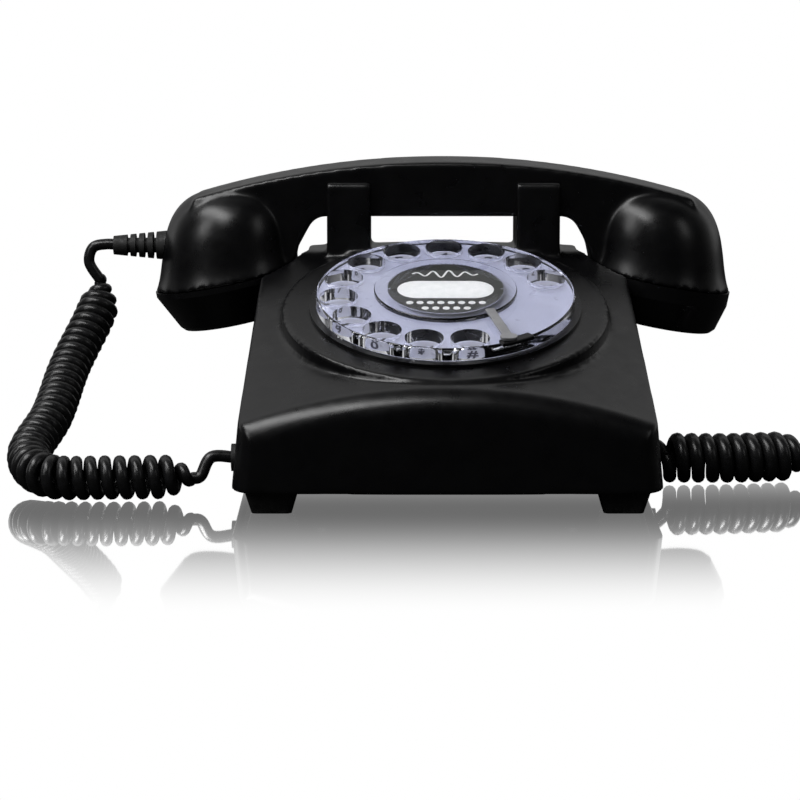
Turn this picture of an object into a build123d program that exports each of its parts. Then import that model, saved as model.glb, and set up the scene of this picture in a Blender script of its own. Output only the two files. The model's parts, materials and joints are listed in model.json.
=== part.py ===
from build123d import *
import math
import os

# Desk telephone with a clear rotary dial.  Millimetres, +Z up, front faces -Y,
# x = 0 is the symmetry plane and z = 0 is the table under the rubber feet.

# ---- driving dimensions ----
BODY_HALF_WIDTH = 75.0
BODY_HALF_DEPTH = 85.0
BODY_TOP_HALF_WIDTH = 68.0
BODY_BOTTOM = 7.8
BODY_CEILING = 95.0
CORNER_R = 11.0
WALL = 2.5
DIAL_TILT = 17.0
DIAL_CENTRE = (0.0, -20.0, 63.6)
PLATFORM_R = 59.5
PLATFORM_STEP = 0.9
CREST_Z = 78.5
CREST_REAR_Y = 58.0
REAR_EDGE_Z = 46.0
CRADLE_Y = 45.0
CUP_X = 83.0
CUP_TILT = 11.5
CUP_R = 28.5
SEAM_Z = 65.7
SCOOP_R = 32.0
SCOOP_FLOOR = 41.0
YOKE_X = 36.0
YOKE_WIDTH = 16.5
SADDLE_Z = 90.6
HORN_Z = 104.0
HORN_THICK = 4.5
HANDLE_DEPTH = 27.6
HANDLE_TOP = 111.5
HANDLE_HALF = 98.0
HANDLE_END_Z = 96.3
WHEEL_R = 47.0
HOLE_R = 7.0
HOLE_PITCH_R = 38.9
HOLE_STEP = 24.0
FIRST_HOLE = 72.0
HOLES = 12
STOP_ANGLE = 150.0
FIT = 0.05

os.makedirs("parts", exist_ok=True)
SLOPE = math.tan(math.radians(DIAL_TILT))
DIAL = Plane(
    origin=DIAL_CENTRE,
    x_dir=(1, 0, 0),
    z_dir=(0, -math.sin(math.radians(DIAL_TILT)), math.cos(math.radians(DIAL_TILT))),
)


def save(node, *solids):
    """Write one node; several solids are kept as separate bodies of the same piece."""
    shape = solids[0] if len(solids) == 1 else Compound(children=list(solids))
    shape.label = node
    export_step(shape, "parts/" + node + ".step")


def on_dial(shape):
    """Place a shape drawn in dial coordinates (x right, y up the slope, z out)."""
    return shape.moved(DIAL.location)


def disc(radius, low, high, x=0.0, y=0.0):
    """Upright cylinder between two heights."""
    return Pos(x, y, low) * Cylinder(
        radius, high - low, align=(Align.CENTER, Align.CENTER, Align.MIN)
    )


def ring(outer, inner, low, high, x=0.0, y=0.0):
    """Upright tube between two heights."""
    return disc(outer, low, high, x, y) - disc(inner, low - 1, high + 1, x, y)


def block(x0, x1, y0, y1, z0, z1):
    """Box between two corners."""
    return Pos((x0 + x1) / 2, (y0 + y1) / 2, (z0 + z1) / 2) * Box(x1 - x0, y1 - y0, z1 - z0)


def rod_x(radius, x0, x1, y, z):
    """Cylinder lying along X."""
    return Pos((x0 + x1) / 2, y, z) * Rot(0, 90, 0) * Cylinder(radius, abs(x1 - x0))


def polar(radius, clockwise):
    """Point on the dial at an angle measured clockwise from the top."""
    a = math.radians(clockwise)
    return radius * math.sin(a), radius * math.cos(a)


# ---- housing form ----
FRONT_CROWN_R = 193.0
CREST_CROWN_R = 900.0
FRONT_BOW_R = 1500.0
SLICES = (-80.0, -55.0, -28.0, 0.0, 28.0, 55.0, 80.0)
slope_at_dial = DIAL_CENTRE[2] - PLATFORM_STEP / math.cos(math.radians(DIAL_TILT))
front_z = slope_at_dial - SLOPE * (BODY_HALF_DEPTH + DIAL_CENTRE[1])
crest_y = DIAL_CENTRE[1] + (CREST_Z - slope_at_dial) / SLOPE


def body_slice(x, inset):
    """Side view of the housing at one distance from the symmetry plane."""
    front = -BODY_HALF_DEPTH + inset + x * x / (2 * FRONT_BOW_R)
    rear = BODY_HALF_DEPTH - inset
    front_sag = x * x / (2 * FRONT_CROWN_R)
    crest_sag = x * x / (2 * CREST_CROWN_R)
    outline = [
        (x, front, BODY_BOTTOM - (5.0 if inset else 0.0)),
        (x, front, front_z - front_sag - inset),
        (x, crest_y, CREST_Z - crest_sag - inset),
        (x, CREST_REAR_Y, CREST_Z - crest_sag - inset),
        (x, rear, REAR_EDGE_Z - crest_sag - inset),
        (x, rear, BODY_BOTTOM - (5.0 if inset else 0.0)),
    ]
    edge = FilletPolyline(*outline, radius=(10.0 - inset, 22.0, 12.0, 10.0))
    return Face(Wire(edge.edges() + [Line(outline[-1], outline[0]).edge()]))


def body_form(inset):
    """Outer form of the housing, shrunk by `inset` on every side but the bottom."""
    crowned = loft([body_slice(x, inset) for x in SLICES])
    drop = 6.0 if inset else 0.0
    growth = (BODY_HALF_WIDTH - BODY_TOP_HALF_WIDTH) / (CREST_Z - BODY_BOTTOM)
    low = Pos(0, 0, BODY_BOTTOM - drop) * RectangleRounded(
        2 * (BODY_HALF_WIDTH - inset + growth * drop),
        2 * (BODY_HALF_DEPTH - inset),
        CORNER_R - inset,
    )
    high = Pos(0, 0, BODY_CEILING) * RectangleRounded(
        2 * (BODY_HALF_WIDTH - inset - growth * (BODY_CEILING - BODY_BOTTOM)),
        2 * (BODY_HALF_DEPTH - inset),
        CORNER_R - inset,
    )
    return crowned & loft([low, high], ruled=True)



def scoops(margin):
    """Clearance for the two handset cups, cut down behind the shoulders."""
    radius = SCOOP_R + margin
    cut = None
    for side in (-1, 1):
        x = side * (CUP_X + 1.0)
        bore = disc(radius, SCOOP_FLOOR - margin, BODY_CEILING, x, CRADLE_Y)
        bore += block(
            x - radius, x + radius, CRADLE_Y, BODY_HALF_DEPTH + 10,
            SCOOP_FLOOR - margin, BODY_CEILING,
        )
        cut = bore if cut is None else cut + bore
    return cut


# ---- housing ----
PLATFORM_DEPTH = 3.6
DIAL_HOLE_R = 44.0
PLUNGER_R = 2.5
JACK_R = 4.0
JACK_Z = 14.0
LINE_JACK_Y = -30.0
CORD_JACK_Y = -50.0
BOSSES = [(sx * 44.0, sy * 70.0) for sx in (-1, 1) for sy in (-1, 1)]
PLATE_TOP = BODY_BOTTOM + 2.0

outer = body_form(0.0)
outer = outer - scoops(0.0)
platform = on_dial(disc(PLATFORM_R, -12.0, 0.0))
platform = fillet(platform.edges().sort_by(Axis.Z)[-1:], 0.6)
void = body_form(WALL) - scoops(WALL)
shell = outer + platform - void
shell -= on_dial(disc(DIAL_HOLE_R, -20.0, 2.0))
shell -= on_dial(disc(WHEEL_R + 1.0, -20.0, -PLATFORM_DEPTH))
for x, y in BOSSES:
    post = disc(3.6, PLATE_TOP, 70.0, x, y) & body_form(1.0)
    shell += post
    shell -= disc(1.25, PLATE_TOP - 1, PLATE_TOP + 14, x, y)
saddle_half = HANDLE_DEPTH / 2 + 0.2
for side in (-1, 1):
    x = side * YOKE_X
    y0 = CRADLE_Y - saddle_half - HORN_THICK
    y1 = CRADLE_Y + saddle_half + HORN_THICK
    yoke = block(x - YOKE_WIDTH / 2, x + YOKE_WIDTH / 2, y0, y1, CREST_Z - 5, SADDLE_Z)
    front = block(x - YOKE_WIDTH / 2, x + YOKE_WIDTH / 2, y0, y0 + HORN_THICK, SADDLE_Z - 1, HORN_Z)
    rear = block(x - YOKE_WIDTH / 2, x + YOKE_WIDTH / 2, y1 - HORN_THICK, y1, SADDLE_Z - 1, HORN_Z)
    front = fillet(front.edges().filter_by(Axis.X).group_by(Axis.Z)[-1], 2.0)
    rear = fillet(rear.edges().filter_by(Axis.X).group_by(Axis.Z)[-1], 2.0)
    shell += yoke
    shell += front
    shell += rear
    shell -= disc(PLUNGER_R + FIT, 60.0, SADDLE_Z + 1, x, CRADLE_Y)
shell -= rod_x(JACK_R, BODY_HALF_WIDTH - 8, BODY_HALF_WIDTH + 4, LINE_JACK_Y, JACK_Z)
shell -= rod_x(JACK_R, -BODY_HALF_WIDTH - 4, -BODY_HALF_WIDTH + 8, CORD_JACK_Y, JACK_Z)
save("housing", shell)

# ---- base plate, feet, screws ----
FOOT_X = 61.0
FOOT_Y = 71.5
FOOT_LOW = 14.0
FOOT_HIGH = 18.5
PEG_R = 2.5
PLATE_GAP = 0.6
SLOT_Y = 62.0
STAND_OFFS = [(sx * 34.0, y) for sx in (-1, 1) for y in (-64.0, -36.0)]
BOARD_Z = 16.0

plate = Pos(0, 0, BODY_BOTTOM) * extrude(
    RectangleRounded(
        2 * (BODY_HALF_WIDTH - WALL - PLATE_GAP),
        2 * (BODY_HALF_DEPTH - WALL - 2.0),
        CORNER_R - WALL,
    ),
    PLATE_TOP - BODY_BOTTOM,
)
for x, y in STAND_OFFS:
    plate += disc(2.8, PLATE_TOP, BOARD_Z, x, y)
FEET = [(sx * FOOT_X, sy * FOOT_Y) for sx in (-1, 1) for sy in (-1, 1)]
feet = []
screws = []
for x, y in FEET:
    plate -= disc(PEG_R, BODY_BOTTOM - 1, PLATE_TOP + 1, x, y)
    low = Pos(x, y, 0) * RectangleRounded(FOOT_LOW, FOOT_LOW, 2.0)
    high = Pos(x, y, BODY_BOTTOM) * RectangleRounded(FOOT_HIGH, FOOT_HIGH, 2.0)
    foot = loft([low, high], ruled=True)
    foot += disc(PEG_R, BODY_BOTTOM - 0.5, PLATE_TOP + 0.6, x, y)
    feet.append(foot)
for x, y in BOSSES:
    plate -= disc(1.7, BODY_BOTTOM - 1, PLATE_TOP + 1, x, y)
    screw = disc(3.0, BODY_BOTTOM - 1.5, BODY_BOTTOM, x, y)
    screw -= block(x - 2.2, x + 2.2, y - 0.3, y + 0.3, BODY_BOTTOM - 2, BODY_BOTTOM - 0.8)
    screw += disc(1.25, BODY_BOTTOM - 0.1, PLATE_TOP + 12, x, y)
    screws.append(screw)
SLIDE_TRAVEL = 4.0
slot_half = 3.0 + SLIDE_TRAVEL / 2 + FIT
plate -= block(-slot_half, slot_half, SLOT_Y - 2 - FIT, SLOT_Y + 2 + FIT, 0, PLATE_TOP + 1)
save("base_plate", plate)
save("rubber_feet", *feet)
save("base_screws", *screws)
knob_x = -SLIDE_TRAVEL / 2
slider = block(knob_x - 7, knob_x + 7, SLOT_Y - 5, SLOT_Y + 5, PLATE_TOP, PLATE_TOP + 1.4)
slider += block(knob_x - 3, knob_x + 3, SLOT_Y - 2, SLOT_Y + 2, BODY_BOTTOM - 1.0, PLATE_TOP + 0.5)
slider += block(knob_x - 3, knob_x + 3, SLOT_Y - 3.5, SLOT_Y + 3.5, BODY_BOTTOM - 2.4, BODY_BOTTOM)
save("volume_slider", slider)

# ---- dial: fixed pieces, in dial coordinates ----
BEZEL_R = 49.5
PLATE_R = 46.5
PLATE_LOW = 0.4
PLATE_HIGH = 1.2
WHEEL_LOW = 1.6
WHEEL_HIGH = 6.2
HUB_HIGH = 7.7
HUB_R = 26.0
CARD_R = 21.0
STOP_LOW = 7.9
STOP_HIGH = 9.4
FRAME_HIGH = -3.7
FRAME_LOW = -5.2
SHAFT_R = 3.0
BUSH_R = 5.0
SCREW_PITCH_R = 40.0
SCREW_ANGLES = (30.0, 150.0, 270.0)

bezel = ring(BEZEL_R, PLATE_R + 0.1, 0.0, PLATE_HIGH) + ring(BEZEL_R, 37.0, 0.0, PLATE_LOW)
bezel += ring(DIAL_HOLE_R - 0.1, 37.0, FRAME_HIGH, PLATE_LOW)
TAB_HALF_ANGLE = 6.0
wedge = Polygon(
    (0, 0),
    polar(80.0, STOP_ANGLE - TAB_HALF_ANGLE),
    polar(80.0, STOP_ANGLE + TAB_HALF_ANGLE),
    align=None,
)
tab = ring(BEZEL_R + 1.0, WHEEL_R + 0.4, 0.0, STOP_LOW) & extrude(wedge, STOP_LOW)
bezel += tab
for a in SCREW_ANGLES:
    x, y = polar(SCREW_PITCH_R, a)
    bezel -= disc(1.25, FRAME_HIGH - 1, -0.4, x, y)
save("dial_bezel", on_dial(bezel))
save("number_plate", on_dial(ring(PLATE_R, 12.0, PLATE_LOW, PLATE_HIGH)))

tip_x, tip_y = polar(25.0, STOP_ANGLE - 8.0)
root_x, root_y = polar(49.0, STOP_ANGLE + 3.0)
knee_x, knee_y = polar(46.0, STOP_ANGLE + 3.0)
ARM_HALF = 1.8
arm = Polyline((tip_x, tip_y), (knee_x, knee_y), (root_x, root_y))
arm = extrude(trace(arm, 2 * ARM_HALF), STOP_HIGH - STOP_LOW)
arm += extrude(Pos(knee_x, knee_y) * Circle(2.6), STOP_HIGH - STOP_LOW)
save("finger_stop", on_dial(Pos(0, 0, STOP_LOW) * arm))

PINION_ANGLE = 250.0
MODULE = 0.75
GEAR_TEETH = 54
PINION_TEETH = 18
gear_r = MODULE * GEAR_TEETH / 2
pinion_r = MODULE * PINION_TEETH / 2
GEAR_LOW = -16.5
GEAR_HIGH = -14.0
BRIDGE_HIGH = -26.0
BRIDGE_LOW = -27.5
PINION_SHAFT_R = 1.5
px, py = polar(gear_r + pinion_r, PINION_ANGLE)
POST_ANGLES = (10.0, 100.0, 190.0)

frame_plate = disc(WHEEL_R, FRAME_LOW, FRAME_HIGH) - disc(BUSH_R, -10, 0)
frame_plate -= disc(PINION_SHAFT_R + FIT, -10, 0, px, py)
dial_screws = []
for a in SCREW_ANGLES:
    x, y = polar(SCREW_PITCH_R, a)
    frame_plate -= disc(1.6, -10, 0, x, y)
    screw = disc(2.6, FRAME_LOW - 1.5, FRAME_LOW, x, y)
    screw += disc(1.25, FRAME_LOW - 0.1, -0.5, x, y)
    screw -= block(x - 2.0, x + 2.0, y - 0.3, y + 0.3, FRAME_LOW - 2, FRAME_LOW - 0.9)
    dial_screws.append(on_dial(screw))
save("dial_frame", on_dial(frame_plate))
save("dial_screws", *dial_screws)
bush = ring(BUSH_R, SHAFT_R + FIT, -11.0, 0.3)
bush += ring(8.0, SHAFT_R + FIT, FRAME_LOW - 1.5, FRAME_LOW)
save("dial_bush", on_dial(bush))

bridge = disc(38.0, BRIDGE_LOW, BRIDGE_HIGH)
for a in POST_ANGLES:
    x, y = polar(34.0, a)
    bridge += disc(2.5, BRIDGE_HIGH - 0.5, FRAME_LOW, x, y)
for a in (55.0, 145.0):
    x, y = polar(20.0, a)
    bridge -= disc(10.0, BRIDGE_LOW - 1, BRIDGE_HIGH + 1, x, y)
bridge -= disc(SHAFT_R + FIT, BRIDGE_LOW - 1, BRIDGE_HIGH + 1)
bridge -= disc(PINION_SHAFT_R + FIT, BRIDGE_LOW - 1, BRIDGE_HIGH + 1, px, py)
save("gear_bridge", on_dial(bridge))
save("governor_drum", on_dial(ring(10.5, 9.3, BRIDGE_HIGH, -19.5, px, py)))

SPRING_WIRE_R = 0.45


def coil_spring(radius, wire, low, high, turns, x=0.0, y=0.0):
    """Open helical spring standing on Z between two heights."""
    pitch = (high - low - 2 * wire) / turns
    path = Helix(pitch, pitch * turns, radius)
    section = Plane(origin=path @ 0, z_dir=path % 0) * Circle(wire)
    return Pos(x, y, low + wire) * sweep(section, path)


save("dial_return_spring", on_dial(coil_spring(7.0, SPRING_WIRE_R, -13.4, -6.9, 4.0)))

# pulse contacts: an insulating block under the frame and two leaf blades beside the cam
bx, by = polar(gear_r + pinion_r + 7.4, PINION_ANGLE)
turn = Pos(bx, by) * Rot(0, 0, -PINION_ANGLE)
contacts = turn * Pos(7.0, 1.0, -9.2) * Box(5.0, 5.0, 8.0)
contacts += turn * Pos(-0.5, 0.0, -10.5) * Box(14.0, 0.4, 2.4)
contacts += turn * Pos(-0.5, 1.6, -10.5) * Box(14.0, 0.4, 2.4)
save("pulse_contacts", on_dial(contacts))

# ---- dial: turning pieces ----
wheel = disc(WHEEL_R, WHEEL_LOW, WHEEL_HIGH)
wheel = fillet(wheel.edges().sort_by(Axis.Z)[-1:], 0.8)
wheel += disc(HUB_R, WHEEL_HIGH - 0.5, HUB_HIGH)
wheel = fillet(wheel.edges().filter_by(GeomType.CIRCLE).sort_by(Axis.Z)[-1:], 0.6)
for k in range(HOLES):
    x, y = polar(HOLE_PITCH_R, FIRST_HOLE - HOLE_STEP * k)
    wheel -= disc(HOLE_R, 0, 10, x, y)
wheel -= disc(CARD_R + 0.2, 6.6, 10)
wheel -= disc(7.0, 4.0, 10)
wheel -= disc(SHAFT_R, 0, 10)
save("finger_wheel", on_dial(wheel))
card = disc(CARD_R, 6.6, 7.0)
for side in (-1, 1):
    card -= block(side * CARD_R - 1.0, side * CARD_R + 1.0, -0.8, 0.8, 6, 8)
save("dial_card", on_dial(card))
save("card_window", on_dial(disc(CARD_R + 0.2, 7.0, HUB_HIGH)))
shaft = disc(SHAFT_R, BRIDGE_LOW, 6.2) + ring(BUSH_R, SHAFT_R - 1, -12.6, -11.1)
save("dial_shaft", on_dial(shaft))
nut = extrude(Pos(0, 0, 4.0) * RegularPolygon(5.2, 6), 2.2) - disc(SHAFT_R, 0, 10)
save("wheel_nut", on_dial(nut))


def gear_face(teeth, module, phase):
    """Involute gear outline with thinned teeth for running clearance."""
    pressure = math.radians(20.0)
    backlash = 0.16
    pitch = module * teeth / 2
    base = pitch * math.cos(pressure)
    tip = pitch + 0.8 * module
    root = pitch - 1.05 * module
    inv = math.tan(pressure) - pressure
    half = (math.pi * module / 2 - backlash) / (2 * pitch)
    flank = []
    steps = 5
    for i in range(steps):
        r = max(base, root) + (tip - max(base, root)) * i / (steps - 1)
        a = math.acos(min(1.0, base / r))
        flank.append((r, half + inv - (math.tan(a) - a)))
    points = []
    for k in range(teeth):
        centre = phase + 2 * math.pi * k / teeth
        tooth = [(root, flank[0][1])] if root < base else []
        tooth = tooth + flank
        rising = [(r, centre - a) for r, a in tooth]
        falling = [(r, centre + a) for r, a in reversed(tooth)]
        points += [(r * math.cos(a), r * math.sin(a)) for r, a in rising + falling]
    return Polygon(*points, align=None)


# the pinion direction, counterclockwise from local X, is where the two gears mesh
mesh = math.radians(90.0 - PINION_ANGLE)
gear = extrude(gear_face(GEAR_TEETH, MODULE, mesh), GEAR_HIGH - GEAR_LOW)
gear = Pos(0, 0, GEAR_LOW) * gear - disc(SHAFT_R, -30, 0)
for k in range(5):
    x, y = polar(11.5, 72.0 * k)
    gear -= disc(3.6, -30, 0, x, y)
save("main_gear", on_dial(gear))
half_tooth = math.pi / PINION_TEETH
pinion = extrude(gear_face(PINION_TEETH, MODULE, mesh + math.pi + half_tooth), 2.9)
pinion = Pos(px, py, GEAR_LOW - 0.2) * pinion - disc(PINION_SHAFT_R, -30, 0, px, py)
save("pulse_pinion", on_dial(pinion))
save("pulse_shaft", on_dial(disc(PINION_SHAFT_R, BRIDGE_LOW, -4.0, px, py)))
cam = extrude(Ellipse(5.0, 3.4), 2.2) - disc(PINION_SHAFT_R, -5, 5)
save("pulse_cam", on_dial(Pos(px, py, -11.6) * cam))
governor = disc(3.2, -24.5, -20.5) + block(-7.0, 7.0, -0.6, 0.6, -23.0, -22.0)
for side in (-1, 1):
    governor += Pos(side * 6.6, 0, -22.5) * Cylinder(2.2, 3.4)
governor = governor - disc(PINION_SHAFT_R, -30, 0)
save("governor", on_dial(Pos(px, py, 0) * governor))

# ---- circuit board ----
board = block(-39, 39, -68, -32, BOARD_Z, BOARD_Z + 1.6)
save("circuit_board", board)
top = BOARD_Z + 1.6
parts = [block(-30, -16, -62, -50, top, top + 4.5)]
for x in (-6.0, 4.0, 14.0):
    parts.append(disc(3.6, top, top + 8.0, x, -56.0))
for x in (-30.0, -20.0, -10.0, 0.0, 10.0):
    parts.append(block(x, x + 6.0, -44, -41.5, top, top + 2.4))
parts.append(block(22, 33, -60, -44, top, top + 6.0))
save("board_components", *parts)

# ---- hook mechanism ----
BAR_HIGH = 68.2
BAR_LOW = 66.0
BAR_HALF = 39.0
BRACKET_Z = 48.0
HOOK_SPRING_X = 26.0
PIVOT_Y = 54.0
PIVOT_Z = 62.0
rods = []
for side in (-1, 1):
    pin = disc(PLUNGER_R, BAR_HIGH, SADDLE_Z, side * YOKE_X, CRADLE_Y)
    rods.append(fillet(pin.edges().sort_by(Axis.Z)[-1:], 1.2))
save("hook_plungers", *rods)
save("hook_bar", block(-BAR_HALF, BAR_HALF, CRADLE_Y - 3, CRADLE_Y + 3, BAR_LOW, BAR_HIGH))
springs = []
for side in (-1, 1):
    x = side * HOOK_SPRING_X
    springs.append(coil_spring(3.0, 0.4, BRACKET_Z + 2.05, BAR_LOW - 0.05, 7.0, x, CRADLE_Y))
save("hook_springs", *springs)
bracket = block(-46, 46, 38, 52, BRACKET_Z, BRACKET_Z + 2)
bracket += block(-7, 7, 50, 71, BRACKET_Z, BRACKET_Z + 2)
for side in (-1, 1):
    leg = sorted((side * 44.0, side * 46.0))
    bracket += block(leg[0], leg[1], 38, 52, PLATE_TOP, BRACKET_Z + 1)
    ear = sorted((side * 3.3, side * 5.3))
    bracket += block(ear[0], ear[1], PIVOT_Y - 3, PIVOT_Y + 3, BRACKET_Z + 1, PIVOT_Z + 3)
bracket += rod_x(1.2, -5.0, 5.0, PIVOT_Y, PIVOT_Z)
save("hook_bracket", bracket)
lever = block(-3, 3, CRADLE_Y - 2, 65, PIVOT_Z - 1.5, PIVOT_Z + 1.5)
lever += rod_x(3.0, -3.0, 3.0, PIVOT_Y, PIVOT_Z)
lever += block(-3, 3, CRADLE_Y - 2, CRADLE_Y + 2, PIVOT_Z, BAR_LOW)
lever -= rod_x(1.2 + FIT, -4.0, 4.0, PIVOT_Y, PIVOT_Z)
save("hook_lever", lever)
switch = block(-5, 5, 59, 69, BRACKET_Z + 2, BRACKET_Z + 7) + disc(1.6, BRACKET_Z + 6, 56.4, 0, 64)
save("hook_switch", switch)

# ---- ringer ----
GONG_R = 19.0
GONG_X = 24.0
GONG_LOW = 14.0
GONG_HIGH = 26.0
GONG_WALL = 1.2
CLAPPER_Y = 18.0
CLAPPER_Z = 19.5
ringer = block(-42, 42, 5, 56, PLATE_TOP, PLATE_TOP + 1.5)
for side in (-1, 1):
    ringer += disc(4.0, PLATE_TOP + 1, GONG_HIGH - GONG_WALL, side * GONG_X, CRADLE_Y)
    ringer += disc(PEG_R, PLATE_TOP + 1, GONG_HIGH, side * GONG_X, CRADLE_Y)
    cheek = sorted((side * 5.5, side * 22.0))
    ringer += block(cheek[0], cheek[1], 18, 20, PLATE_TOP + 1, 27)
ringer += disc(1.5, PLATE_TOP + 1, CLAPPER_Z + 4, 0, CLAPPER_Y)
save("ringer_frame", ringer)
coils = []
for side in (-1, 1):
    core = Pos(side * 13.5, 13.0, CLAPPER_Z) * Rot(90, 0, 0) * Cylinder(5.2, 10.0)
    for y in (8.4, 17.6):
        core += Pos(side * 13.5, y, CLAPPER_Z) * Rot(90, 0, 0) * Cylinder(6.6, 0.8)
    coils.append(core)
save("ringer_coils", *coils)
gong_screws = []
for side, node in ((-1, "gong_left"), (1, "gong_right")):
    x = side * GONG_X
    gong = disc(GONG_R, GONG_LOW, GONG_HIGH, x, CRADLE_Y)
    gong = fillet(gong.edges().sort_by(Axis.Z)[-1:], 5.0)
    inner = disc(GONG_R - GONG_WALL, GONG_LOW - 1, GONG_HIGH - GONG_WALL, x, CRADLE_Y)
    inner = fillet(inner.edges().sort_by(Axis.Z)[-1:], 4.0)
    save(node, gong - inner - disc(PEG_R, 0, 40, x, CRADLE_Y))
    screw = disc(4.2, GONG_HIGH, GONG_HIGH + 2, x, CRADLE_Y)
    screw -= block(x - 3.2, x + 3.2, CRADLE_Y - 0.4, CRADLE_Y + 0.4, GONG_HIGH + 1.1, 40)
    gong_screws.append(screw)
save("gong_screws", *gong_screws)
clapper = disc(3.4, CLAPPER_Z - 2, CLAPPER_Z + 2, 0, CLAPPER_Y)
clapper += block(-0.8, 0.8, CLAPPER_Y, 42.4, CLAPPER_Z - 1, CLAPPER_Z + 1)
clapper -= disc(1.5 + FIT, 0, 40, 0, CLAPPER_Y)
ball = Pos(0, 44.5, CLAPPER_Z) * Sphere(2.4)
save("clapper_arm", clapper - ball)
save("clapper_ball", ball)

# ---- handset ----
handle_r = (HANDLE_HALF**2 + (HANDLE_TOP - HANDLE_END_Z) ** 2) / (2 * (HANDLE_TOP - HANDLE_END_Z))


def arch(x, drop):
    """Height of the handle top at a distance from the middle."""
    return HANDLE_TOP - drop - x * x / (2 * handle_r)


def handle_slab(half_depth):
    """Front outline of the handle and its two ends, given a depth."""
    end = HANDLE_HALF - 3.0
    seam = math.tan(math.radians(CUP_TILT))
    right = [
        (49.0, SADDLE_Z),
        (55.5, SADDLE_Z - 12.0),
        (57.0, SEAM_Z + seam * (CUP_X - 57.0) + 0.3),
        (104.0, SEAM_Z + seam * (CUP_X - 104.0) + 0.3),
        (101.0, 80.0),
        (99.0, 89.0),
        (end, arch(end, 0.0)),
    ]
    left = [(-x, z) for x, z in reversed(right)]
    ends = (7.0, 4.0, 1.0, 1.0, 6.0, 6.0)
    low = FilletPolyline(
        *[(x, 0, z) for x, z in left + right], radius=ends[::-1] + ends
    )
    top = ThreePointArc((end, 0, arch(end, 0)), (0, 0, HANDLE_TOP), (-end, 0, arch(end, 0)))
    face = Face(Wire(low.edges() + [top.edge()]))
    slab = extrude(face, half_depth, both=True)
    return Pos(0, CRADLE_Y, 0) * slab


def cup_frame(side):
    """Coordinates of a cup: origin at the seam centre, Z up its own axis."""
    return Plane(
        origin=(side * CUP_X, CRADLE_Y, SEAM_Z),
        x_dir=(math.cos(math.radians(CUP_TILT)), 0, -side * math.sin(math.radians(CUP_TILT))),
        z_dir=(side * math.sin(math.radians(CUP_TILT)), 0, math.cos(math.radians(CUP_TILT))),
    )


def cup_shell(side):
    """Back of a cup, narrowing from the seam circle to a rounded dome."""
    stations = (
        (CUP_X, SEAM_Z, CUP_R, CUP_TILT),
        (CUP_X - 0.2, 78.0, 25.4, 6.0),
        (CUP_X - 1.5, 90.0, 22.4, 0.0),
        (CUP_X - 3.0, 97.0, 17.0, 0.0),
        (CUP_X - 4.0, 99.6, 8.0, 0.0),
    )
    faces = []
    for x, z, radius, tilt in stations:
        faces.append(Pos(side * x, CRADLE_Y, z) * Rot(0, side * tilt, 0) * Circle(radius))
    return loft(faces)


slab = handle_slab(HANDLE_DEPTH / 2)
form = slab + cup_shell(-1) + cup_shell(1)

# channel inside the handle and shafts down into the cups
CHANNEL_HALF = 9.0
channel = Face(
    Wire(
        [
            Line((-80, 0, 82.0), (-80, 0, arch(80, 4.0))).edge(),
            ThreePointArc(
                (-80, 0, arch(80, 4.0)), (0, 0, arch(0, 4.0)), (80, 0, arch(80, 4.0))
            ).edge(),
            Line((80, 0, arch(80, 4.0)), (80, 0, 82.0)).edge(),
            Line((80, 0, 82.0), (66, 0, 82.0)).edge(),
            Line((66, 0, 82.0), (50, 0, SADDLE_Z + 3.0)).edge(),
            Line((50, 0, SADDLE_Z + 3.0), (-50, 0, SADDLE_Z + 3.0)).edge(),
            Line((-50, 0, SADDLE_Z + 3.0), (-66, 0, 82.0)).edge(),
            Line((-66, 0, 82.0), (-80, 0, 82.0)).edge(),
        ]
    )
)
handset = form - Pos(0, CRADLE_Y, 0) * extrude(channel, CHANNEL_HALF, both=True)
CAP_DEPTH = 16.5
CAVITY_R = 24.6
SPIGOT = 5.0
for side in (-1, 1):
    cavity = disc(CAVITY_R, -1.0, SPIGOT + 0.5) + Pos(0, 0, SPIGOT) * loft(
        [Circle(CAVITY_R - 1.2), Pos(0, 0, 11.0) * Circle(19.0)]
    )
    handset -= cavity.moved(cup_frame(side).location)
BOOT_Z = 78.0
BOOT_X = -CUP_X - 44.0
BOOT_NECK_R = 4.0
handset -= rod_x(BOOT_NECK_R, -CUP_X - 30, -CUP_X - 10, CRADLE_Y, BOOT_Z)
save("handset_body", handset)

# caps: (radius at the seam, shoulder depth, radius at the face)
MOUTH_CAP = (CUP_R, 2.0, 22.0)
EAR_CAP = (CUP_R, 5.5, 26.0)


def cap(side, sizes, sound_holes):
    """Screw-on cap below the seam, hollow, with a spigot and a ring of sound holes."""
    rim, shoulder, face = sizes
    wall = 2.2
    outline = Polyline(
        (0, -CAP_DEPTH), (face - 1.5, -CAP_DEPTH), (face, -CAP_DEPTH + 1.5), (rim, -shoulder),
        (rim, 0), (CAVITY_R, 0), (CAVITY_R, SPIGOT), (CAVITY_R - 1.6, SPIGOT),
        (rim - wall - 2.4, -shoulder), (face - wall, -CAP_DEPTH + wall), (0, -CAP_DEPTH + wall),
        close=True,
    )
    body = revolve(Plane.XZ * make_face(outline), Axis.Z)
    for radius, count in sound_holes:
        for k in range(count):
            x, y = polar(radius, 360.0 * k / count)
            body -= disc(1.1, -CAP_DEPTH - 1, -CAP_DEPTH + wall + 1, x, y)
    return body.moved(cup_frame(side).location)


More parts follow.
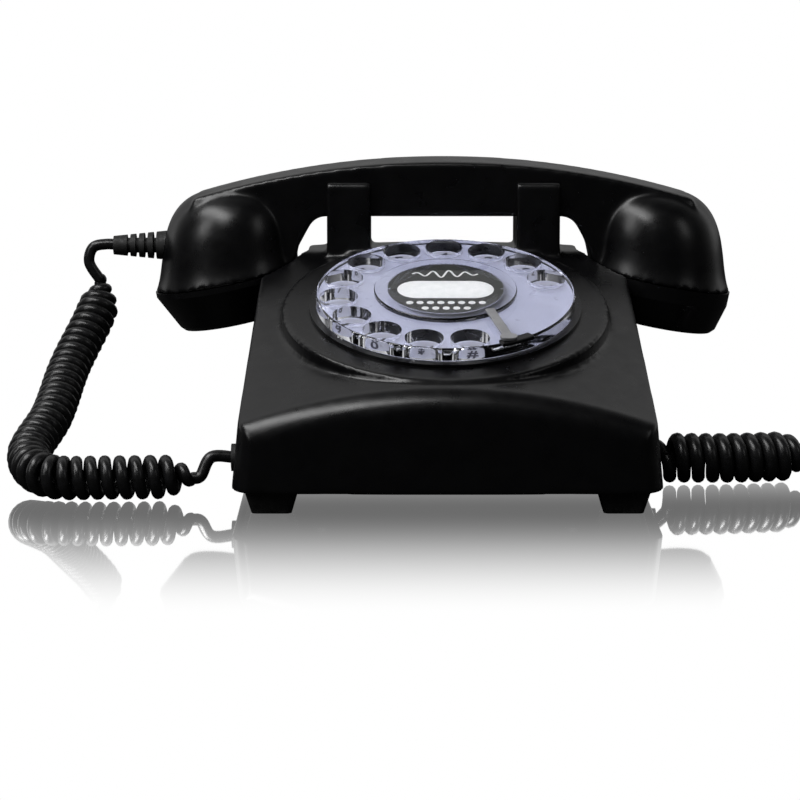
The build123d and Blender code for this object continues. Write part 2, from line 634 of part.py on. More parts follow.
save("mouthpiece_cap", cap(-1, MOUTH_CAP, ((0.0, 1), (6.5, 6), (12.5, 12))))
save("earpiece_cap", cap(1, EAR_CAP, ((0.0, 1), (7.0, 6))))
capsule_low = -CAP_DEPTH + 2.2
mic = disc(14.0, capsule_low, capsule_low + 7.0) + disc(9.0, capsule_low + 6, capsule_low + 9)
save("microphone_capsule", mic.moved(cup_frame(-1).location))
receiver = disc(19.0, capsule_low, capsule_low + 6.0) + disc(12.0, capsule_low + 5, capsule_low + 12)
save("receiver_capsule", receiver.moved(cup_frame(1).location))
weight_low = SADDLE_Z + 3.0
save("handset_weight", block(-28, 28, CRADLE_Y - 6, CRADLE_Y + 6, weight_low, weight_low + 8.5))
wire_path = Spline(
    (-79.0, CRADLE_Y, 66.0), (-74.0, CRADLE_Y, 86.0), (-50.0, CRADLE_Y, 100.0),
    (0.0, CRADLE_Y, 105.0), (50.0, CRADLE_Y, 100.0), (74.0, CRADLE_Y, 86.0), (76.0, CRADLE_Y, 69.0),
)
wire = sweep(Plane(origin=wire_path @ 0, z_dir=wire_path % 0) * Circle(0.9), wire_path)
save("handset_wires", wire)

# strain relief: tapered boot with grooves, its neck filling the hole in the cup
BOOT_RINGS = 4
boot_root = -CUP_X - 20.0
boot_length = boot_root - BOOT_X
boot = Pos(boot_root, CRADLE_Y, BOOT_Z) * Rot(0, -90, 0) * loft(
    [Circle(6.0), Pos(0, 0, boot_length) * Circle(3.6)]
)
for k in range(BOOT_RINGS):
    x = boot_root - boot_length * (0.36 + 0.14 * k)
    boot -= rod_x(8.0, x, x + 1.3, CRADLE_Y, BOOT_Z) - rod_x(2.9, x - 1, x + 3, CRADLE_Y, BOOT_Z)
boot -= form
boot += rod_x(BOOT_NECK_R, -CUP_X - 24.0, -CUP_X - 16.0, CRADLE_Y, BOOT_Z)
save("strain_relief", boot)

# ---- cords ----
COIL_R = 8.0
LINE_COIL_R = 9.3
LEAD_R = 2.2


def tube(radius, points, start=None, end=None):
    """Round cord along a smooth path; the end directions may be given."""
    if start is None:
        path = Spline(*points)
    else:
        path = Spline(*points, tangents=[start, end])
    return sweep(Plane(origin=path @ 0, z_dir=path % 0) * Circle(radius), path)


GROMMET_LIP_R = 4.9
GROMMET_OUT = 1.4


def grommet(side, y):
    """Bush in the side wall with an outer lip that follows the wall."""
    outer_x = side * (BODY_HALF_WIDTH + GROMMET_OUT)
    lip = rod_x(GROMMET_LIP_R, side * (BODY_HALF_WIDTH - 5), outer_x, y, JACK_Z)
    plug = rod_x(JACK_R, side * (BODY_HALF_WIDTH - 6), outer_x, y, JACK_Z)
    return (lip - body_form(0.0)) + plug


save("cord_grommet", grommet(-1, CORD_JACK_Y))
save("line_grommet", grommet(1, LINE_JACK_Y))
upper_lead = tube(
    LEAD_R,
    [
        (BOOT_X - 0.5, CRADLE_Y, BOOT_Z), (BOOT_X - 2.5, CRADLE_Y, BOOT_Z), (-135.0, 44.8, 75.5),
        (-134.5, 44.4, 69.0), (-131.5, 44.0, 64.6),
    ],
)
coil_body = tube(
    COIL_R,
    [
        (-131.4, 43.5, 63.0), (-133.5, 36.0, 52.5), (-141.0, 14.0, 36.0), (-144.5, -14.0, 22.5),
        (-150.0, -38.0, 12.5), (-141.0, -56.0, 8.4), (-118.0, -58.0, 8.2), (-90.0, -56.0, 8.2),
    ],
)
lower_lead = tube(
    LEAD_R,
    [(-89.2, -55.9, 9.0), (-84.0, -52.5, 12.6), (-79.5, CORD_JACK_Y, JACK_Z),
     (-BODY_HALF_WIDTH - 2.6, CORD_JACK_Y, JACK_Z)],
)
save("handset_cord", upper_lead, coil_body, lower_lead)
coil_start = BODY_HALF_WIDTH + 7.0
coil_end = 132.0
PLUG_X = 158.6
line = tube(
    LEAD_R,
    [(BODY_HALF_WIDTH + 2.0, LINE_JACK_Y, JACK_Z), (86.0, LINE_JACK_Y, 11.0)],
    (1, 0, 0),
    (1, 0, -0.5),
)
line += tube(
    LINE_COIL_R,
    [(coil_start, LINE_JACK_Y, 9.6), (105.0, LINE_JACK_Y + 1.0, 9.5), (coil_end, LINE_JACK_Y + 6, 9.5)],
)
line += tube(
    LEAD_R, [(128.0, LINE_JACK_Y + 5, 9.0), (140.0, -21.5, 4.6), (149.0, -20.0, 4.0)],
    (1, 0.2, -0.2), (1, 0, 0),
)
plug = block(147.0, PLUG_X, -25.0, -15.0, 0.5, 7.5)
plug += block(148.0, PLUG_X - 2.5, -22.0, -18.0, 7.4, 8.6)
save("line_plug", plug - line)
save("line_cord", line)
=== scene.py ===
import json
import math

import bmesh
import bpy
import numpy as np
from mathutils import Matrix, Vector


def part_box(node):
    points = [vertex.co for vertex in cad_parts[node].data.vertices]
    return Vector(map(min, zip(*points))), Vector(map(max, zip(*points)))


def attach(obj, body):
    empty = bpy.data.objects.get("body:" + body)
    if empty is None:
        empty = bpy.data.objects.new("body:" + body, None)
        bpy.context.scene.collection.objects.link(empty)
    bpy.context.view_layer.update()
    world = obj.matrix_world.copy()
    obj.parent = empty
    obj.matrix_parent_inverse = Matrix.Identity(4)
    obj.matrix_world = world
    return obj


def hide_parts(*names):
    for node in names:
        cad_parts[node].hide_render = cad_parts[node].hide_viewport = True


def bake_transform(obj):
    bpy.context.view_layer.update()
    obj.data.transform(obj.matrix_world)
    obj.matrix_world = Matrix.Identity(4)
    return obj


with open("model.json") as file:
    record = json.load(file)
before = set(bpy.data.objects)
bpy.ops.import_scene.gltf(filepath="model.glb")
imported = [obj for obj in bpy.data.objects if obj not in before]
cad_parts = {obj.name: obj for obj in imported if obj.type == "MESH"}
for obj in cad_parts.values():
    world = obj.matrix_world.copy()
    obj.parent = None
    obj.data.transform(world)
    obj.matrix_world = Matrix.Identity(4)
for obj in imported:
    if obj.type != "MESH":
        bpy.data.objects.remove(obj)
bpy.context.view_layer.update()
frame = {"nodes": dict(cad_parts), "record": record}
nodes = frame["nodes"]
MM = 0.001

# ---------------------------------------------------------------- materials


def new_material(name):
    """Empty node material with a Principled surface; returns material, tree and surface node."""
    mat = bpy.data.materials.new(name)
    mat.use_nodes = True
    tree = mat.node_tree
    tree.nodes.clear()
    out = tree.nodes.new("ShaderNodeOutputMaterial")
    bsdf = tree.nodes.new("ShaderNodeBsdfPrincipled")
    tree.links.new(bsdf.outputs[0], out.inputs[0])
    return mat, tree, bsdf


def noise(tree, scale, detail=4.0, distortion=0.0, stretch=(1, 1, 1)):
    """Noise texture in object space; scale is in features per metre."""
    coord = tree.nodes.new("ShaderNodeTexCoord")
    mapping = tree.nodes.new("ShaderNodeMapping")
    mapping.inputs["Scale"].default_value = stretch
    tex = tree.nodes.new("ShaderNodeTexNoise")
    tex.inputs["Scale"].default_value = scale
    tex.inputs["Detail"].default_value = detail
    tex.inputs["Distortion"].default_value = distortion
    tree.links.new(coord.outputs["Object"], mapping.inputs["Vector"])
    tree.links.new(mapping.outputs[0], tex.inputs["Vector"])
    return tex


def ramp(tree, source, low, high, start=0.35, end=0.65):
    """Remap a texture to a range of values or colours."""
    node = tree.nodes.new("ShaderNodeValToRGB")
    for stop, position, value in zip(node.color_ramp.elements, (start, end), (low, high)):
        stop.position = position
        stop.color = (tuple(value) if hasattr(value, "__len__") else (value,) * 3) + (1,)
    tree.links.new(source, node.inputs[0])
    return node.outputs[0]


def bump(tree, bsdf, source, depth_mm):
    """Bump from a texture with a depth in millimetres."""
    node = tree.nodes.new("ShaderNodeBump")
    node.inputs["Strength"].default_value = 1.0
    node.inputs["Distance"].default_value = depth_mm * MM
    tree.links.new(source, node.inputs["Height"])
    tree.links.new(node.outputs[0], bsdf.inputs["Normal"])


def surface(name, low, high, rough, rough_spread=0.05, scale=120.0, metallic=0.0,
            bump_mm=0.0, bump_scale=900.0, stretch=(1, 1, 1)):
    """Opaque material: colour drifts between two tones, roughness varies, fine relief."""
    mat, tree, bsdf = new_material(name)
    tone = noise(tree, scale, stretch=stretch)
    tree.links.new(ramp(tree, tone.outputs["Fac"], low, high), bsdf.inputs["Base Color"])
    haze = noise(tree, scale * 2.7, detail=6.0, distortion=0.4, stretch=stretch)
    tree.links.new(
        ramp(tree, haze.outputs["Fac"], rough - rough_spread, rough + rough_spread),
        bsdf.inputs["Roughness"],
    )
    bsdf.inputs["Metallic"].default_value = metallic
    bsdf.inputs["Specular IOR Level"].default_value = 0.5
    if bump_mm:
        grain = noise(tree, bump_scale, detail=5.0, stretch=stretch)
        bump(tree, bsdf, grain.outputs["Fac"], bump_mm)
    return mat


def clear_plastic(name, tint, rough=0.02):
    """Transparent moulding with a faint tint and barely uneven surface."""
    mat, tree, bsdf = new_material(name)
    tone = noise(tree, 25.0)
    pale = tuple(min(1.0, c * 1.03) for c in tint)
    tree.links.new(ramp(tree, tone.outputs["Fac"], tint, pale), bsdf.inputs["Base Color"])
    haze = noise(tree, 300.0, detail=6.0)
    tree.links.new(ramp(tree, haze.outputs["Fac"], rough, rough + 0.03), bsdf.inputs["Roughness"])
    bsdf.inputs["Transmission Weight"].default_value = 1.0
    bsdf.inputs["IOR"].default_value = 1.49
    path = tree.nodes.new("ShaderNodeLightPath")
    clear = tree.nodes.new("ShaderNodeBsdfTransparent")
    clear.inputs["Color"].default_value = tint + (1,)
    either = tree.nodes.new("ShaderNodeMixShader")
    tree.links.new(path.outputs["Is Shadow Ray"], either.inputs[0])
    tree.links.new(bsdf.outputs[0], either.inputs[1])
    tree.links.new(clear.outputs[0], either.inputs[2])
    out = next(node for node in tree.nodes if node.type == "OUTPUT_MATERIAL")
    tree.links.new(either.outputs[0], out.inputs[0])
    return mat


BLACK_ABS = surface("black_abs", (0.0015, 0.0015, 0.002), (0.003, 0.003, 0.0035), 0.30, 0.03,
                    scale=60.0, bump_mm=0.004, bump_scale=700.0)
CORD = surface("black_pvc", (0.006, 0.006, 0.006), (0.012, 0.012, 0.013), 0.3, 0.06,
               scale=400.0, bump_mm=0.03, bump_scale=1500.0)
RUBBER = surface("black_rubber", (0.009, 0.009, 0.009), (0.02, 0.02, 0.02), 0.62, 0.1,
                 scale=300.0, bump_mm=0.06, bump_scale=2500.0)
ACRYLIC = clear_plastic("clear_acrylic", (0.93, 0.94, 1.0))
LAVENDER = surface("lavender_plate", (0.42, 0.43, 0.52), (0.47, 0.48, 0.57), 0.32, 0.05,
                   scale=50.0, bump_mm=0.004)
CARD = surface("card_print", (0.022, 0.024, 0.02), (0.034, 0.036, 0.03), 0.5, 0.06,
               scale=500.0, bump_mm=0.01, bump_scale=4000.0)
WHITE_INK = surface("white_ink", (0.82, 0.83, 0.80), (0.90, 0.90, 0.87), 0.45, 0.05, scale=300.0)
DARK_INK = surface("dark_ink", (0.02, 0.02, 0.04), (0.035, 0.035, 0.06), 0.4, 0.05, scale=300.0)
ZINC = surface("zinc_steel", (0.48, 0.48, 0.5), (0.62, 0.62, 0.64), 0.34, 0.08, metallic=1.0,
               scale=200.0, bump_mm=0.01, bump_scale=1500.0, stretch=(1, 12, 1))
BRASS = surface("brass", (0.70, 0.50, 0.22), (0.80, 0.60, 0.30), 0.28, 0.06, metallic=1.0,
                scale=200.0, bump_mm=0.006)
BELL = surface("bell_nickel", (0.70, 0.70, 0.72), (0.82, 0.82, 0.84), 0.14, 0.04, metallic=1.0,
               scale=90.0, bump_mm=0.003)
STOP_METAL = surface("stop_metal", (0.42, 0.42, 0.44), (0.50, 0.50, 0.52), 0.4, 0.05, metallic=0.6,
                     scale=200.0, bump_mm=0.004)
NYLON = surface("white_nylon", (0.72, 0.71, 0.66), (0.82, 0.80, 0.75), 0.45, 0.06, scale=150.0,
                bump_mm=0.01)
BOARD = surface("board_green", (0.01, 0.11, 0.035), (0.02, 0.16, 0.055), 0.3, 0.08, scale=700.0,
                bump_mm=0.02)
DARK_PART = surface("dark_part", (0.012, 0.012, 0.014), (0.03, 0.03, 0.033), 0.5, 0.08,
                    scale=250.0, bump_mm=0.03, bump_scale=1800.0)
COPPER = surface("copper_winding", (0.35, 0.12, 0.04), (0.55, 0.22, 0.08), 0.35, 0.07,
                 metallic=0.7, scale=500.0, bump_mm=0.08, bump_scale=1200.0, stretch=(1, 9, 1))

BY_SLOT = {
    "gloss_black": BLACK_ABS, "cord_black": CORD, "foot_rubber": RUBBER,
    "clear_acrylic": ACRYLIC, "plate_lavender": LAVENDER, "card_print": CARD,
    "zinc_steel": ZINC, "brass_cut": BRASS, "bell_steel": BELL, "white_nylon": NYLON,
    "board_green": BOARD, "part_dark": DARK_PART, "copper_winding": COPPER,
}


def paint(obj, mat):
    """One material on the whole object."""
    obj.data.materials.clear()
    obj.data.materials.append(mat)


for entry in frame["record"]["subparts"]:
    paint(nodes[entry["node"]], BY_SLOT[entry["material_slot"]])

# ---------------------------------------------------------------- helpers


def link(name, mesh):
    """New object in the scene from a mesh."""
    obj = bpy.data.objects.new(name, mesh)
    bpy.context.scene.collection.objects.link(obj)
    return obj


def apply_modifiers(obj):
    """Bake the modifier stack into the mesh."""
    graph = bpy.context.evaluated_depsgraph_get()
    graph.update()
    mesh = bpy.data.meshes.new_from_object(obj.evaluated_get(graph))
    obj.modifiers.clear()
    obj.data = mesh


def shade_smooth(obj, angle=40.0):
    """Smooth shading that keeps edges sharper than the angle."""
    obj.data.shade_smooth()
    obj.data.set_sharp_from_angle(angle=math.radians(angle))


def soften(node, name, body, mat, voxel_mm, passes):
    """Moulded version of a CAD node: same form, every edge and junction rounded over."""
    mesh = nodes[node].data.copy()
    obj = link(name, mesh)
    weld = obj.modifiers.new("weld", "WELD")
    weld.merge_threshold = 0.00001
    remesh = obj.modifiers.new("remesh", "REMESH")
    remesh.mode = "VOXEL"
    remesh.voxel_size = voxel_mm * MM
    smooth = obj.modifiers.new("smooth", "SMOOTH")
    smooth.factor = 0.5
    smooth.iterations = passes
    apply_modifiers(obj)
    obj.data.shade_smooth()
    paint(obj, mat)
    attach(obj, body)
    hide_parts(node)
    return obj


def catmull(points, per_span):
    """Smooth curve through the points."""
    pts = [np.array(p, float) for p in points]
    pts = [2 * pts[0] - pts[1]] + pts + [2 * pts[-1] - pts[-2]]
    out = []
    for i in range(1, len(pts) - 2):
        a, b, c, d = pts[i - 1 : i + 3]
        for k in range(per_span):
            t = k / per_span
            out.append(
                0.5 * (2 * b + (c - a) * t + (2 * a - 5 * b + 4 * c - d) * t * t
                       + (3 * b - a - 3 * c + d) * t**3)
            )
    out.append(pts[-2])
    return np.array(out)


def frames_along(path):
    """Unit tangent and two unit normals at each point, without twist."""
    tangent = np.gradient(path, axis=0)
    tangent /= np.linalg.norm(tangent, axis=1)[:, None]
    normal = np.zeros_like(path)
    start = np.cross(tangent[0], (0.0, 0.31, 0.95))
    normal[0] = start / np.linalg.norm(start)
    for i in range(1, len(path)):
        n = normal[i - 1] - tangent[i] * np.dot(normal[i - 1], tangent[i])
        normal[i] = n / np.linalg.norm(n)
    return tangent, normal, np.cross(tangent, normal)


def resample(path, count):
    """The same curve with points evenly spaced by length."""
    step = np.linalg.norm(np.diff(path, axis=0), axis=1)
    length = np.concatenate([[0], np.cumsum(step)])
    at = np.linspace(0, length[-1], count)
    return np.stack([np.interp(at, length, path[:, k]) for k in range(3)], axis=1), length[-1]


def tube_mesh(name, path, radius, sides=12):
    """Closed round tube; radius may be one value or one per point."""
    _, normal, binormal = frames_along(path)
    radii = np.full(len(path), radius) if np.isscalar(radius) else np.asarray(radius)
    angle = np.linspace(0, 2 * math.pi, sides, endpoint=False)
    rings = (
        path[:, None, :]
        + radii[:, None, None] * np.cos(angle)[None, :, None] * normal[:, None, :]
        + radii[:, None, None] * np.sin(angle)[None, :, None] * binormal[:, None, :]
    )
    verts = rings.reshape(-1, 3)
    faces = []
    for i in range(len(path) - 1):
        for k in range(sides):
            n = (k + 1) % sides
            faces.append((i * sides + k, i * sides + n, (i + 1) * sides + n, (i + 1) * sides + k))
    faces.append(tuple(reversed(range(sides))))
    last = (len(path) - 1) * sides
    faces.append(tuple(last + k for k in range(sides)))
    mesh = bpy.data.meshes.new(name)
    mesh.from_pydata([tuple(v) for v in verts * MM], [], faces)
    mesh.validate()
    mesh.update()
    obj = link(name, mesh)
    obj.data.shade_smooth()
    return obj


CENTRE_SAMPLES = 1200


def wound(centre, coil_radius, pitches, lead_in=10.0, lead_out=10.0, steps=22):
    """Helix wound around a centreline; pitches are given evenly along its length."""
    fine, length = resample(centre, CENTRE_SAMPLES)
    _, normal, binormal = frames_along(fine)
    s = np.linspace(0, length, CENTRE_SAMPLES)
    pitch = np.interp(s, np.linspace(0, length, len(pitches)), pitches)
    phase = np.concatenate([[0], np.cumsum(2 * math.pi * np.diff(s) / pitch[:-1])])
    count = int(phase[-1] / (2 * math.pi) * steps)
    at = np.interp(np.linspace(0, phase[-1], count), phase, s)
    turn = np.linspace(0, phase[-1], count)

    def pick(values):
        """The same quantity at the winding's sample points."""
        return np.stack([np.interp(at, s, values[:, k]) for k in range(3)], axis=1)

    grow = np.clip(at / lead_in, 0, 1) * np.clip((length - at) / lead_out, 0, 1)
    grow = grow * grow * (3 - 2 * grow)
    r = coil_radius * (0.25 + 0.75 * grow)
    return (
        pick(fine)
        + (r * np.cos(turn))[:, None] * pick(normal)
        + (r * np.sin(turn))[:, None] * pick(binormal)
    )


# ---------------------------------------------------------------- housing and handset

soften("housing", "housing_moulding", "base", BLACK_ABS, 0.9, 6)
soften("handset_body", "handset_moulding", "handset", BLACK_ABS, 0.9, 14)
for cad_name in nodes:
    if cad_name not in ("housing", "handset_body"):
        shade_smooth(nodes[cad_name], 35.0)

# ---------------------------------------------------------------- cords

WIRE_R = 2.15
COIL_R = 5.8
LINE_WIRE_R = 2.45
LINE_COIL_R = 6.7

boot_low, boot_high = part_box("strain_relief")
grommet_low, grommet_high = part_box("cord_grommet")


def left_face(low, high):
    """Middle of a box's left face, in millimetres."""
    return np.array([low.x, (low.y + high.y) / 2, (low.z + high.z) / 2]) / MM


top = left_face(boot_low, boot_high)
foot = left_face(grommet_low, grommet_high)

coil_line = catmull(
    [(-131.4, 43.5, 63.0), (-133.5, 36.0, 52.5), (-141.0, 14.0, 36.0), (-144.5, -14.0, 22.5),
     (-150.0, -38.0, 12.5), (-141.0, -56.0, 8.6), (-118.0, -58.0, 8.4), (-90.0, -56.0, 8.4)],
    40,
)
coil = wound(coil_line, COIL_R, (4.3, 4.3, 4.3, 4.2, 4.2, 4.2, 4.8, 5.4, 5.6))
lead_up = catmull(
    [top + (3, 0, 0), top + (-3, 0, 0.3), top + (-8, -0.4, -1.0), top + (-9.5, -1.0, -6.5),
     top + (-6.0, -1.2, -12.5), coil[0] + (0.6, 0.2, 2.0), coil[0]],
    14,
)[:-1]
lead_down = catmull([coil[-1], coil[-1] + (3, 0.6, 0.8), foot + (-7, -1.5, 0.4), foot + (2, 0, 0)], 14)[1:]
cord_path = np.concatenate([lead_up, coil, lead_down])
cord = tube_mesh("handset_cord_coil", cord_path, WIRE_R)
paint(cord, CORD)
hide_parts("handset_cord")
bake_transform(cord)

line_low, line_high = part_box("line_grommet")
plug_low, plug_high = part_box("line_plug")
line_start = np.array([line_high.x, (line_low.y + line_high.y) / 2, (line_low.z + line_high.z) / 2]) / MM
plug_end = np.array([plug_low.x, (plug_low.y + plug_high.y) / 2, 0.004]) / MM
line_centre = catmull([(80.0, -30.0, 9.8), (105.0, -29.0, 9.5), (132.0, -24.0, 9.5)], 60)
line_coil = wound(line_centre, LINE_COIL_R, (5.2, 5.2), lead_in=1.5)
line_in = catmull([line_start + (-2, 0, 0), line_start + (0.5, 0, 0), line_coil[0]], 12)[:-1]
line_out = catmull(
    [line_coil[-1], line_coil[-1] + (5, 1, -1), plug_end + (-4, 0, 0.3), plug_end + (1, 0, 0)], 14
)[1:]
line = tube_mesh("line_cord_coil", np.concatenate([line_in, line_coil, line_out]), LINE_WIRE_R)
paint(line, CORD)
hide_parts("line_cord")
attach(line, "base")

# ---------------------------------------------------------------- dial print

TILT = math.radians(17.0)
dial_centre = Vector((0.0, -0.020, 0.0636))
up_slope = Vector((0, math.cos(TILT), math.sin(TILT)))
outward = Vector((0, -math.sin(TILT), math.cos(TILT)))
DIAL = Matrix.Translation(dial_centre) @ Matrix(((1, 0, 0), up_slope, outward)).transposed().to_4x4()
FIRST_HOLE = 72.0
HOLE_STEP = 24.0
DIGITS = "1234567890*#"
DIGIT_R = 41.6
DIGIT_SIZE = 8.0
PLATE_TOP = 1.22


def on_dial(obj, x, y, h):
    """Place an object in the dial's plane, in millimetres."""
    obj.matrix_world = DIAL @ Matrix.Translation((x * MM, y * MM, h * MM))


def flat_shape(name, outlines, mat, body, h, thick=0.05):
    """Thin printed shape on the dial from closed outlines in dial millimetres."""
    bm = bmesh.new()
    for outline in outlines:
        low = [bm.verts.new((x * MM, y * MM, 0)) for x, y in outline]
        face = bm.faces.new(low)
        if face.normal.z < 0:
            face.normal_flip()
    bm.normal_update()
    made = bmesh.ops.extrude_face_region(bm, geom=list(bm.faces))
    lifted = [v for v in made["geom"] if isinstance(v, bmesh.types.BMVert)]
    bmesh.ops.translate(bm, verts=lifted, vec=(0, 0, thick * MM))
    bmesh.ops.recalc_face_normals(bm, faces=bm.faces)
    mesh = bpy.data.meshes.new(name)
    bm.to_mesh(mesh)
    bm.free()
    obj = link(name, mesh)
    on_dial(obj, 0, 0, h)
    paint(obj, mat)
    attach(obj, body)
    return obj


for index, mark in enumerate(DIGITS):
    angle = math.radians(FIRST_HOLE - HOLE_STEP * index)
    text = bpy.data.curves.new("digit_%02d" % index, "FONT")
    text.body = mark
    text.size = DIGIT_SIZE * MM
    text.align_x = "CENTER"
    text.align_y = "CENTER"
    text.extrude = 0.03 * MM
    text.offset = 0.2 * MM
    obj = bpy.data.objects.new("digit_%02d" % index, text)
    bpy.context.scene.collection.objects.link(obj)
    on_dial(obj, DIGIT_R * math.sin(angle), DIGIT_R * math.cos(angle), PLATE_TOP)
    obj.data.materials.append(DARK_INK)
    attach(obj, "base")


def stadium(cx, cy, width, height, segments=20):
    """Outline with straight top and bottom and half-round ends."""
    r = height / 2
    pts = []
    for side in (1, -1):
        for k in range(segments + 1):
            a = side * math.pi / 2 - math.pi * k / segments
            pts.append((cx + side * (width / 2 - r) + r * math.cos(a), cy + r * math.sin(a)))
    return pts


def stroke(points, width):
    """Outline of a line of constant width through the points."""
    p = np.array(points, float)
    t = np.gradient(p, axis=0)
    t /= np.linalg.norm(t, axis=1)[:, None]
    n = np.stack([-t[:, 1], t[:, 0]], axis=1) * width / 2
    return [tuple(q) for q in np.concatenate([p + n, (p - n)[::-1]])]



def sector(inner, outer, low_deg, high_deg, steps=12):
    """Closed outline of a ring sector, angles clockwise from the top of the dial."""
    angles = [math.radians(low_deg + (high_deg - low_deg) * k / steps) for k in range(steps + 1)]
    rim = [(outer * math.sin(a), outer * math.cos(a)) for a in angles]
    return rim + [(inner * math.sin(a), inner * math.cos(a)) for a in reversed(angles)]


def round_edges(obj, width_mm, segments):
    """Bevel every edge of a small piece."""
    edge = obj.modifiers.new("edge", "BEVEL")
    edge.width = width_mm * MM
    edge.segments = segments
    apply_modifiers(obj)


TAB_CAP_LOW = 6.5
cap = flat_shape("stop_tab_cap", [sector(46.6, 50.4, 142.5, 157.5)], BLACK_ABS, "base", TAB_CAP_LOW, 1.5)
round_edges(cap, 0.5, 3)

STOP_LOW = 8.0
STOP_PATH = [(15.4, -19.8), (17.6, -28.2), (20.9, -40.6), (21.8, -44.0)]
arm = flat_shape("finger_stop_arm", [stroke(STOP_PATH, 3.4)], STOP_METAL, "base", STOP_LOW, 1.0)
pad = flat_shape("finger_stop_pad", [stadium(21.4, -42.4, 6.2, 4.2, 10)], STOP_METAL, "base", STOP_LOW, 1.2)
for piece in (arm, pad):
    round_edges(piece, 0.25, 2)
    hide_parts("finger_stop")

CARD_TOP = 7.01
flat_shape("card_label", [stadium(0, -1.0, 35.0, 14.6)], WHITE_INK, "dial", CARD_TOP, 0.06)
wave_x = np.linspace(-12, 12, 80)
wave = [(x, 12.4 + 3.2 * math.sin(x * 1.05) * (1 - abs(x) / 16)) for x in wave_x]
flat_shape("card_flourish", [stroke(wave, 0.8)], WHITE_INK, "dial", CARD_TOP, 0.06)
dots = [stadium(x, -12.0, 2.6, 2.6, 8) for x in np.linspace(-13, 13, 8)]
dots += [stadium(x, -16.6, 2.6, 2.6, 8) for x in np.linspace(-7.5, 7.5, 5)]
flat_shape("card_dots", dots, WHITE_INK, "dial", CARD_TOP, 0.06)

# ---------------------------------------------------------------- stage


def smooth_range(tree, source, low, high, to_low, to_high):
    """Smooth step of a value between two limits."""
    node = tree.nodes.new("ShaderNodeMapRange")
    node.interpolation_type = "SMOOTHSTEP"
    node.inputs["From Min"].default_value = low
    node.inputs["From Max"].default_value = high
    node.inputs["To Min"].default_value = to_low
    node.inputs["To Max"].default_value = to_high
    tree.links.new(source, node.inputs["Value"])
    return node.outputs[0]


def product(tree, first, second):
    """Two values multiplied."""
    node = tree.nodes.new("ShaderNodeMath")
    node.operation = "MULTIPLY"
    tree.links.new(first, node.inputs[0])
    tree.links.new(second, node.inputs[1])
    return node.outputs[0]


BACKDROP_LOW = 0.28
FLOOR_SIZE = 6.0
FLOOR_DIM = 0.03
MIRROR_NEAR = 0.85


def studio_floor():
    """Plain pale floor; seen from the front it mirrors the object just before it."""
    mesh = bpy.data.meshes.new("floor")
    corners = [(-FLOOR_SIZE, -FLOOR_SIZE, 0), (FLOOR_SIZE, -FLOOR_SIZE, 0),
               (FLOOR_SIZE, FLOOR_SIZE, 0), (-FLOOR_SIZE, FLOOR_SIZE, 0)]
    mesh.from_pydata(corners, [], [(0, 1, 2, 3)])
    obj = link("floor", mesh)
    mat = bpy.data.materials.new("floor_pale")
    mat.use_nodes = True
    tree = mat.node_tree
    tree.nodes.clear()
    out = tree.nodes.new("ShaderNodeOutputMaterial")
    seen = tree.nodes.new("ShaderNodeMixShader")
    mirrored = tree.nodes.new("ShaderNodeMixShader")
    glow = tree.nodes.new("ShaderNodeEmission")
    gloss = tree.nodes.new("ShaderNodeBsdfGlossy")
    matt = tree.nodes.new("ShaderNodeBsdfDiffuse")
    path = tree.nodes.new("ShaderNodeLightPath")
    coord = tree.nodes.new("ShaderNodeTexCoord")
    place = tree.nodes.new("ShaderNodeSeparateXYZ")
    geometry = tree.nodes.new("ShaderNodeNewGeometry")
    towards = tree.nodes.new("ShaderNodeSeparateXYZ")
    gloss.inputs["Roughness"].default_value = 0.03
    lift = 1.0 / BACKDROP_LOW
    gloss.inputs["Color"].default_value = (lift, lift, lift, 1)
    matt.inputs["Color"].default_value = (FLOOR_DIM, FLOOR_DIM, FLOOR_DIM, 1)
    tree.links.new(coord.outputs["Object"], place.inputs[0])
    tree.links.new(geometry.outputs["Incoming"], towards.inputs[0])
    rise = smooth_range(tree, place.outputs["Y"], -0.215, -0.075, 0.0, MIRROR_NEAR)
    fall = smooth_range(tree, place.outputs["Y"], -0.07, 0.05, 1.0, 0.1)
    front = smooth_range(tree, towards.outputs["Y"], -0.9, -0.6, 1.0, 0.1)
    tree.links.new(product(tree, product(tree, rise, fall), front), mirrored.inputs[0])
    tree.links.new(glow.outputs[0], mirrored.inputs[1])
    tree.links.new(gloss.outputs[0], mirrored.inputs[2])
    tree.links.new(path.outputs["Is Camera Ray"], seen.inputs[0])
    tree.links.new(matt.outputs[0], seen.inputs[1])
    tree.links.new(mirrored.outputs[0], seen.inputs[2])
    tree.links.new(seen.outputs[0], out.inputs[0])
    paint(obj, mat)


studio_floor()

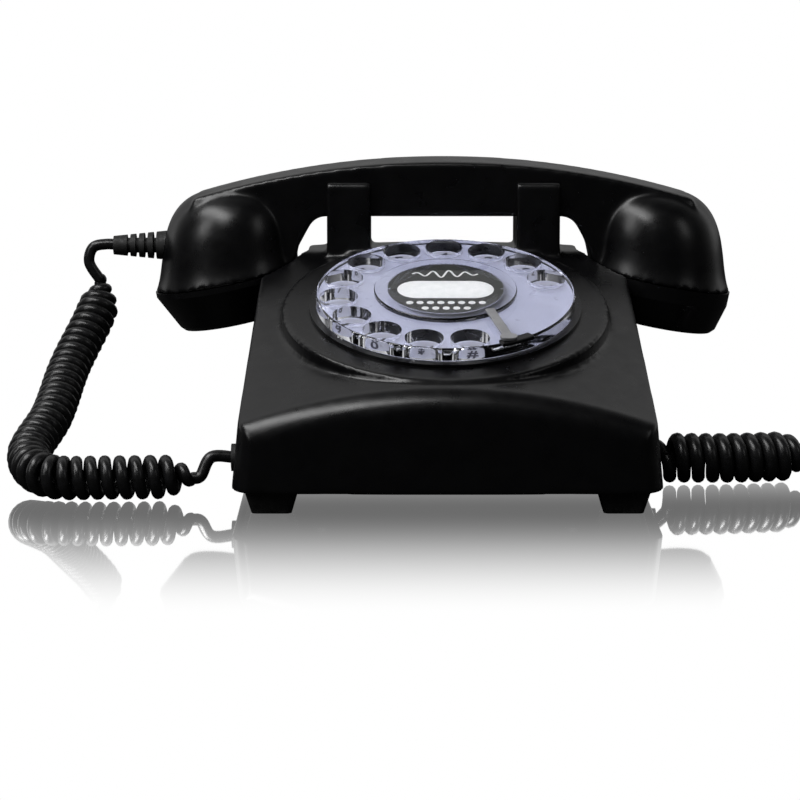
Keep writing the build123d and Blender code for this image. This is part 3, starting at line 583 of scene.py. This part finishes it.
# room brightness by direction: 0 faces the front, 1 faces the back
BACKDROP = ((0.00, 0.02), (0.50, 0.03), (0.62, 0.10), (0.75, 0.16), (0.87, 0.80), (0.96, BACKDROP_LOW))
world = bpy.data.worlds.new("studio")
bpy.context.scene.world = world
world.use_nodes = True
wt = world.node_tree
wt.nodes.clear()
w_out = wt.nodes.new("ShaderNodeOutputWorld")
w_mix = wt.nodes.new("ShaderNodeMixShader")
w_path = wt.nodes.new("ShaderNodeLightPath")
w_room = wt.nodes.new("ShaderNodeBackground")
w_white = wt.nodes.new("ShaderNodeBackground")
w_coord = wt.nodes.new("ShaderNodeTexCoord")
w_split = wt.nodes.new("ShaderNodeSeparateXYZ")
w_ramp = wt.nodes.new("ShaderNodeValToRGB")
wt.links.new(w_coord.outputs["Generated"], w_split.inputs[0])
wt.links.new(smooth_range(wt, w_split.outputs["Y"], -1.0, 1.0, 0.0, 1.0), w_ramp.inputs[0])
stops = w_ramp.color_ramp.elements
while len(stops) < len(BACKDROP):
    stops.new(0.5)
for stop, (position, value) in zip(stops, BACKDROP):
    stop.position = position
    stop.color = (value, value, value, 1)
wt.links.new(w_ramp.outputs[0], w_room.inputs[0])
wt.links.new(w_path.outputs["Is Camera Ray"], w_mix.inputs[0])
wt.links.new(w_room.outputs[0], w_mix.inputs[1])
wt.links.new(w_white.outputs[0], w_mix.inputs[2])
wt.links.new(w_mix.outputs[0], w_out.inputs[0])
w_white.inputs[0].default_value = (1, 1, 1, 1)


def softbox(name, place, aim, width, height, power):
    """Rectangular area light aimed at a point."""
    light = bpy.data.lights.new(name, "AREA")
    light.shape = "RECTANGLE"
    light.size = width
    light.size_y = height
    light.energy = power
    obj = bpy.data.objects.new(name, light)
    obj.location = place
    obj.rotation_euler = (Vector(aim) - Vector(place)).to_track_quat("-Z", "Y").to_euler()
    bpy.context.scene.collection.objects.link(obj)


softbox("overhead", (-0.50, -0.40, 1.05), (0, -0.05, 0.05), 1.15, 0.34, 9.0)
softbox("left_front", (-1.0, -0.7, 0.8), (0, 0, 0.05), 0.4, 0.6, 3.0)
softbox("right_front", (1.0, -0.6, 0.7), (0, 0, 0.05), 0.3, 0.5, 0.5)
bpy.context.scene.view_settings.view_transform = "Standard"

camera = bpy.data.cameras.new("camera")
camera.sensor_width = 36.0
FOCAL_PX = 2750.0
FRAME_PX = 800.0
camera.lens = 36.0 * FOCAL_PX / FRAME_PX
camera.shift_y = -0.1164
eye = bpy.data.objects.new("camera", camera)
ELEVATION = math.radians(8.5)
DISTANCE = 1.0
SIDE_SHIFT = -0.0165
eye.location = dial_centre + Vector(
    (SIDE_SHIFT, -DISTANCE * math.cos(ELEVATION), DISTANCE * math.sin(ELEVATION))
)
eye.rotation_euler = (math.pi / 2 - ELEVATION, 0, 0)
bpy.context.scene.collection.objects.link(eye)
bpy.context.scene.camera = eye
